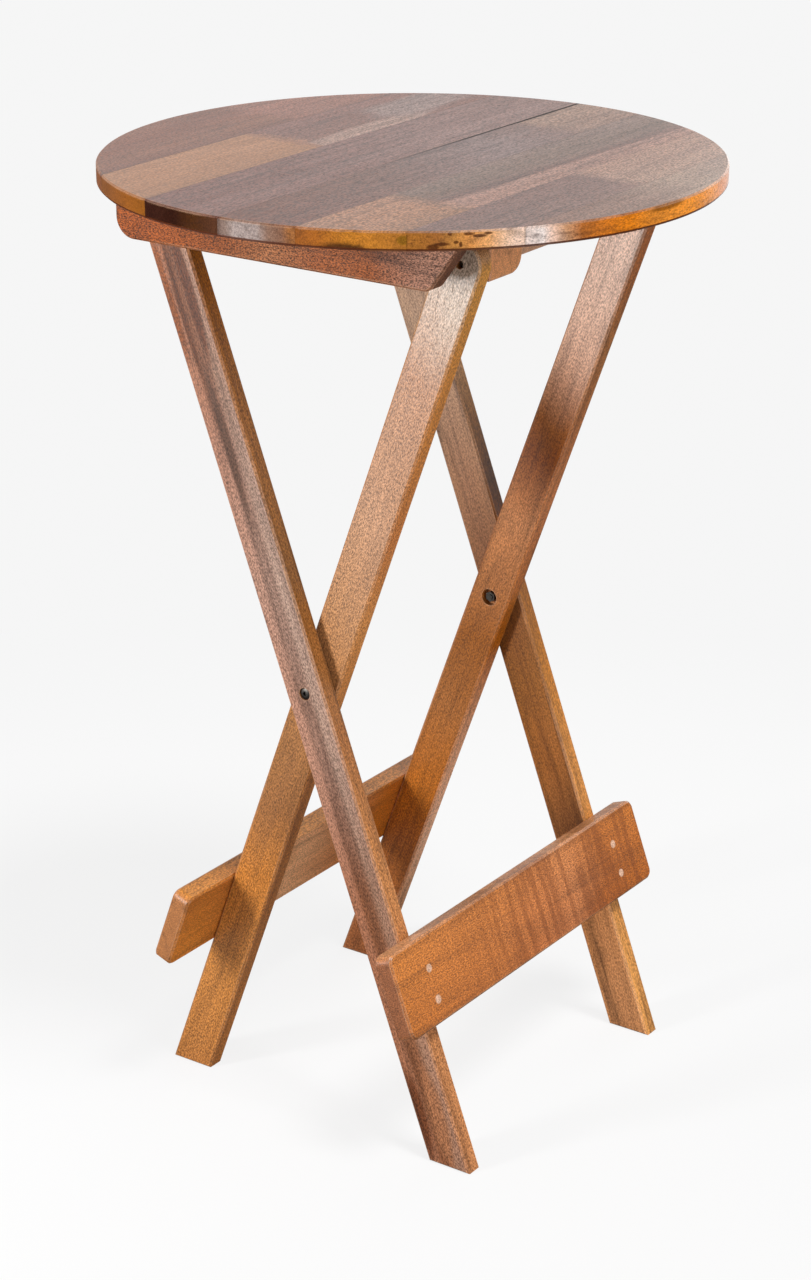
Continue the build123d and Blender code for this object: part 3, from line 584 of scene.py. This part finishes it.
# The pale stretch on the inner rail's faces, just in front of its middle, is a painted highlight
dress("foot_rail_inner", oiled_acacia(
    "acacia_rail_inner", rail_middle(-1, inner_rail_up), (0, lean - math.pi / 2, 0), 45,
    [(-44, "#c87830"), (0, "#c87a38"), (44, "#c07034")], "#c8843c", "#a46a3c", reach=234,
    along=[(-234, "#c8761c"), (-100, "#dc9048"), (-40, "#ffc894"), (40, "#c88858"), (120, "#c87010"),
           (234, "#b06628")],
    figure=0.5, speckle=1.3, ring=11, seed=22))
dress("cross_dowel", oiled_acacia(
    "acacia_dowel", (hinge_reach, 0, hinge_height), (0, 0, 0), 11,
    [(-11, "#c39472"), (11, "#b58464")], "#bd8d6c", "#a47a5c", figure=0.4, seed=23))

# Filler plugs: pale discs of wood filler over the eight screws that hold the rails, pressed in and sanded
# flush. The filler is made with the wood's own dust, so it has the same speckle with hardly any figure.
for node in ("rail_outer_plugs", "rail_inner_plugs"):
    dress(node, oiled_acacia(
        "acacia_" + node, (0, 0, 200), (0, 0, 0), 300, [(-300, "#d8a98a"), (300, "#d8a98a")],
        "#dcb094", "#dcb094", figure=0.3, seed=24))


# Rail screws, nuts, washers and inserts: zinc-plated steel in counterbores and between the legs, turned brass
# inserts in the battens for the hinge bolts, and moulded nylon washers in the hinge, so that wood never rubs
# on wood.
def fastening(name, code, metallic, roughness, grit):
    """A small hardware finish: plated steel, turned brass or moulded nylon, uneven in tone and polish.

    grit is how far apart its cloudy patches are in mm, which is as fine as the render can show.
    """
    made = bpy.data.materials.new(name)
    made.use_nodes = True
    tree = made.node_tree
    tree.nodes.clear()
    where = add(tree, "ShaderNodeTexCoord", {}, {})
    place = add(tree, "ShaderNodeMapping", {"vector_type": "TEXTURE"},
                {"Vector": where.outputs["Object"], "Scale": (grit / 1000,) * 3})
    haze = add(tree, "ShaderNodeTexNoise", {}, {"Vector": place.outputs[0], "Scale": 1.0, "Detail": 3.0})
    tone = add(tree, "ShaderNodeMapRange", {}, {"Value": haze.outputs[0], "To Min": 0.75, "To Max": 1.2})
    colour = add(tree, "ShaderNodeHueSaturation", {}, {"Color": linear(code), "Value": tone.outputs[0]})
    rough = add(tree, "ShaderNodeMapRange", {},
                {"Value": haze.outputs[0], "To Min": roughness - 0.1, "To Max": roughness + 0.12})
    relief = add(tree, "ShaderNodeBump", {}, {"Height": haze.outputs[0], "Strength": 0.3, "Distance": 0.0001})
    body = add(tree, "ShaderNodeBsdfPrincipled", {},
               {"Base Color": colour.outputs[0], "Roughness": rough.outputs[0], "Normal": relief.outputs[0],
                "Metallic": metallic})
    add(tree, "ShaderNodeOutputMaterial", {}, {"Surface": body.outputs[0]})
    return made


# Zinc plate has a soft grey shine. The bolts and nuts in counterbores get a darker copy of it, which is
# painted shade of the counterbores. Turned brass is warm and a little brighter, and moulded nylon is a matt
# off-white
zinc = fastening("zinc_plated_steel", "#8b8781", 1.0, 0.36, 1.6)
shaded_zinc = fastening("zinc_plate_painted_shade", "#4e4a46", 1.0, 0.42, 1.6)
brass = fastening("turned_brass", "#b8924c", 1.0, 0.34, 1.6)
nylon = fastening("moulded_nylon", "#d2cfc6", 0.0, 0.5, 2.0)
for node in ("rail_outer_screws", "rail_inner_screws", "scissor_washers"):
    dress(node, zinc)
dress("scissor_nuts", shaded_zinc)
dress("hinge_inserts", brass)
dress("hinge_washers", nylon)


# Wood screws: zinc-plated steel with pan heads and cross slots, driven up through the battens and the catch
# blocks into the top, and through the inner legs into the dowel's ends.
def fastener_tree(name, drive):
    """Geometry Nodes: a round-headed fastener on each point, its head looking along the point's way."""
    tree = bpy.data.node_groups.new(name, "GeometryNodeTree")
    keys = {}
    for label, kind in (("Points", "Geometry"), ("Head diameter", "Float"), ("Head height", "Float"),
                        ("Shank diameter", "Float"), ("Length", "Float"), ("Drive width", "Float"),
                        ("Drive depth", "Float"), ("Seed", "Int"), ("Finish", "Material")):
        socket = tree.interface.new_socket(label, in_out="INPUT", socket_type="NodeSocket" + kind)
        keys[label] = socket.identifier
    tree.interface.new_socket("Fasteners", in_out="OUTPUT", socket_type="NodeSocketGeometry")
    given = tree.nodes.new("NodeGroupInput").outputs

    # Head: a cylinder under z = 0 whose top is domed by a share of its height
    dome = 0.28
    half = add(tree, "ShaderNodeMath", {"operation": "MULTIPLY"}, {0: given["Head diameter"], 1: 0.5})
    drop = add(tree, "ShaderNodeMath", {"operation": "MULTIPLY"}, {0: given["Head height"], 1: -0.5})
    drop = add(tree, "ShaderNodeCombineXYZ", {}, {2: drop.outputs[0]})
    head = add(tree, "GeometryNodeMeshCylinder", {"fill_type": "TRIANGLE_FAN"},
               {"Vertices": 36, "Fill Segments": 6, "Radius": half.outputs[0], "Depth": given["Head height"]})
    spot = tree.nodes.new("GeometryNodeInputPosition")
    out = add(tree, "ShaderNodeVectorMath", {"operation": "MULTIPLY"}, {0: spot.outputs[0], 1: (1, 1, 0)})
    out = add(tree, "ShaderNodeVectorMath", {"operation": "LENGTH"}, {0: out.outputs[0]})
    out = add(tree, "ShaderNodeMath", {"operation": "DIVIDE"}, {0: out.outputs["Value"], 1: half.outputs[0]})
    out = add(tree, "ShaderNodeMath", {"operation": "POWER"}, {0: out.outputs[0], 1: 4.0})
    sag = add(tree, "ShaderNodeMath", {"operation": "MULTIPLY"}, {0: given["Head height"], 1: -dome})
    sag = add(tree, "ShaderNodeMath", {"operation": "MULTIPLY"}, {0: sag.outputs[0], 1: out.outputs[0]})
    sag = add(tree, "ShaderNodeCombineXYZ", {}, {2: sag.outputs[0]})
    upper = add(tree, "ShaderNodeSeparateXYZ", {}, {0: spot.outputs[0]})
    upper = add(tree, "FunctionNodeCompare", {"operation": "GREATER_THAN"}, {0: upper.outputs[2], 1: 0.0})
    head = add(tree, "GeometryNodeSetPosition", {},
               {"Geometry": head.outputs["Mesh"], "Selection": upper.outputs[0], "Offset": sag.outputs[0]})
    head = add(tree, "GeometryNodeTransform", {},
               {"Geometry": head.outputs[0], "Translation": drop.outputs[0]})

    # Drive: a cross of two slots, or a six-sided socket given by its width across flats
    slot_share = 0.23
    corner_share = 3 ** -0.5
    deep = add(tree, "ShaderNodeMath", {"operation": "MULTIPLY"}, {0: given["Drive depth"], 1: 2.0})
    cutters = []
    if drive == "cross":
        thin = add(tree, "ShaderNodeMath", {"operation": "MULTIPLY"},
                   {0: given["Drive width"], 1: slot_share})
        for x, y in ((given["Drive width"], thin.outputs[0]), (thin.outputs[0], given["Drive width"])):
            size = add(tree, "ShaderNodeCombineXYZ", {}, {0: x, 1: y, 2: deep.outputs[0]})
            cutters.append(add(tree, "GeometryNodeMeshCube", {}, {"Size": size.outputs[0]}))
    else:
        corner = add(tree, "ShaderNodeMath", {"operation": "MULTIPLY"},
                     {0: given["Drive width"], 1: corner_share})
        cutters.append(add(tree, "GeometryNodeMeshCylinder", {},
                           {"Vertices": 6, "Radius": corner.outputs[0], "Depth": deep.outputs[0]}))
    for cutter in cutters:
        head = add(tree, "GeometryNodeMeshBoolean", {"operation": "DIFFERENCE"},
                   {"Mesh 1": head.outputs[0], "Mesh 2": cutter.outputs["Mesh"]})

    # Shank, from the head down to the full length
    thick = add(tree, "ShaderNodeMath", {"operation": "MULTIPLY"}, {0: given["Shank diameter"], 1: 0.5})
    long = add(tree, "ShaderNodeMath", {"operation": "SUBTRACT"},
               {0: given["Length"], 1: given["Head height"]})
    shank = add(tree, "GeometryNodeMeshCylinder", {},
                {"Vertices": 24, "Radius": thick.outputs[0], "Depth": long.outputs[0]})
    low = add(tree, "ShaderNodeMath", {"operation": "ADD"}, {0: given["Length"], 1: given["Head height"]})
    low = add(tree, "ShaderNodeMath", {"operation": "MULTIPLY"}, {0: low.outputs[0], 1: -0.5})
    low = add(tree, "ShaderNodeCombineXYZ", {}, {2: low.outputs[0]})
    shank = add(tree, "GeometryNodeTransform", {},
                {"Geometry": shank.outputs["Mesh"], "Translation": low.outputs[0]})
    whole = tree.nodes.new("GeometryNodeJoinGeometry")
    tree.links.new(head.outputs[0], whole.inputs[0])
    tree.links.new(shank.outputs[0], whole.inputs[0])

    # One on each point, turned by chance about its own axis as a driver leaves it
    way = add(tree, "GeometryNodeInputNamedAttribute", {"data_type": "FLOAT_VECTOR"}, {"Name": "way"})
    turn = add(tree, "FunctionNodeAlignRotationToVector", {"axis": "Z"}, {"Vector": way.outputs[0]})
    chance = add(tree, "FunctionNodeRandomValue", {"data_type": "FLOAT"},
                 {2: 0.0, 3: 2 * math.pi, "Seed": given["Seed"]})
    spin = add(tree, "FunctionNodeAxisAngleToRotation", {}, {"Axis": (0, 0, 1), "Angle": chance.outputs[1]})
    turn = add(tree, "FunctionNodeRotateRotation", {"rotation_space": "LOCAL"},
               {0: turn.outputs[0], 1: spin.outputs[0]})
    made = add(tree, "GeometryNodeInstanceOnPoints", {},
               {"Points": given["Points"], "Instance": whole.outputs[0], "Rotation": turn.outputs[0]})
    made = add(tree, "GeometryNodeRealizeInstances", {}, {"Geometry": made.outputs[0]})
    made = add(tree, "GeometryNodeSetMaterial", {},
               {"Geometry": made.outputs[0], "Material": given["Finish"]})
    add(tree, "NodeGroupOutput", {}, {"Fasteners": made.outputs[0]})
    return tree, keys


def fasten(node, body, kind, points, sizes, finish, seed):
    """Sets fasteners on (place, way) points given in mm, as one plain mesh in place of the frame's node."""
    tree, keys = kind
    mesh = bpy.data.meshes.new("seen_" + node)
    mesh.from_pydata([[c / 1000 for c in place] for place, _ in points], [], [])
    ways = mesh.attributes.new("way", "FLOAT_VECTOR", "POINT")
    ways.data.foreach_set("vector", [float(c) for _, way in points for c in way])
    piece = bpy.data.objects.new("seen_" + node, mesh)
    scene.collection.objects.link(piece)
    run = piece.modifiers.new("fasteners", "NODES")
    run.node_group = tree
    for label, size in sizes.items():
        run[keys[label]] = size / 1000
    run[keys["Seed"]] = seed
    run[keys["Finish"]] = finish
    bpy.context.view_layer.update()
    made = bpy.data.meshes.new_from_object(piece.evaluated_get(bpy.context.evaluated_depsgraph_get()))
    piece.modifiers.remove(run)
    piece.data = made
    made.shade_smooth()
    made.set_sharp_from_angle(angle=math.radians(32))
    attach(piece, body)
    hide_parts(node)


wood_screws = fastener_tree("wood_screws", "cross")
screw_size = {"Head diameter": 7.9, "Head height": 3.0, "Shank diameter": 4.2, "Drive width": 4.6,
              "Drive depth": 1.6}
batten_seat, block_seat, dowel_seat = 911.0, 923.8, 156.0
block_screws_x, block_screws_y, block_screws_apart = 138.1, 114.25, 12
fasten("batten_screws", "top", wood_screws,
       [((x, y, batten_seat), (0, 0, -1)) for y in (-batten_side, batten_side)
        for x in (-121.5, -40.5, 40.5, 121.5)],
       {**screw_size, "Length": 42.9}, zinc, 3)
fasten("catch_block_screws", "top", wood_screws,
       [((block_screws_x, side * (block_screws_y + step), block_seat), (0, 0, -1)) for side in (-1, 1)
        for step in (-block_screws_apart, block_screws_apart)],
       {**screw_size, "Length": 30.1}, zinc, 5)
fasten("dowel_screws", "inner_frame", wood_screws,
       [((hinge_reach, side * dowel_seat, hinge_height), (0, side, 0)) for side in (-1, 1)],
       {**screw_size, "Length": 37.9}, zinc, 7)

# Socket bolts: zinc-plated steel with button heads and hexagon sockets. The scissor bolts look outwards from
# counterbores in the outer legs, with the counterbores' shade painted into their finish, and the hinge bolts
# look inwards.
socket_bolts = fastener_tree("socket_bolts", "hexagon")
bolt_size = {"Head diameter": 11.55, "Head height": 4.0, "Shank diameter": 6.0, "Drive width": 4.0,
             "Drive depth": 2.4}
scissor_height = 467.366
scissor_seat, hinge_seat = 181.5, 162.5
fasten("scissor_bolts", "outer_frame", socket_bolts,
       [((0, side * scissor_seat, scissor_height), (0, side, 0)) for side in (-1, 1)],
       {**bolt_size, "Length": 39.4}, shaded_zinc, 11)
fasten("hinge_bolts", "top", socket_bolts,
       [((-hinge_reach, side * hinge_seat, hinge_height), (0, -side, 0)) for side in (-1, 1)],
       {**bolt_size, "Length": 31.9}, zinc, 13)

scene.view_settings.view_transform = "Standard"
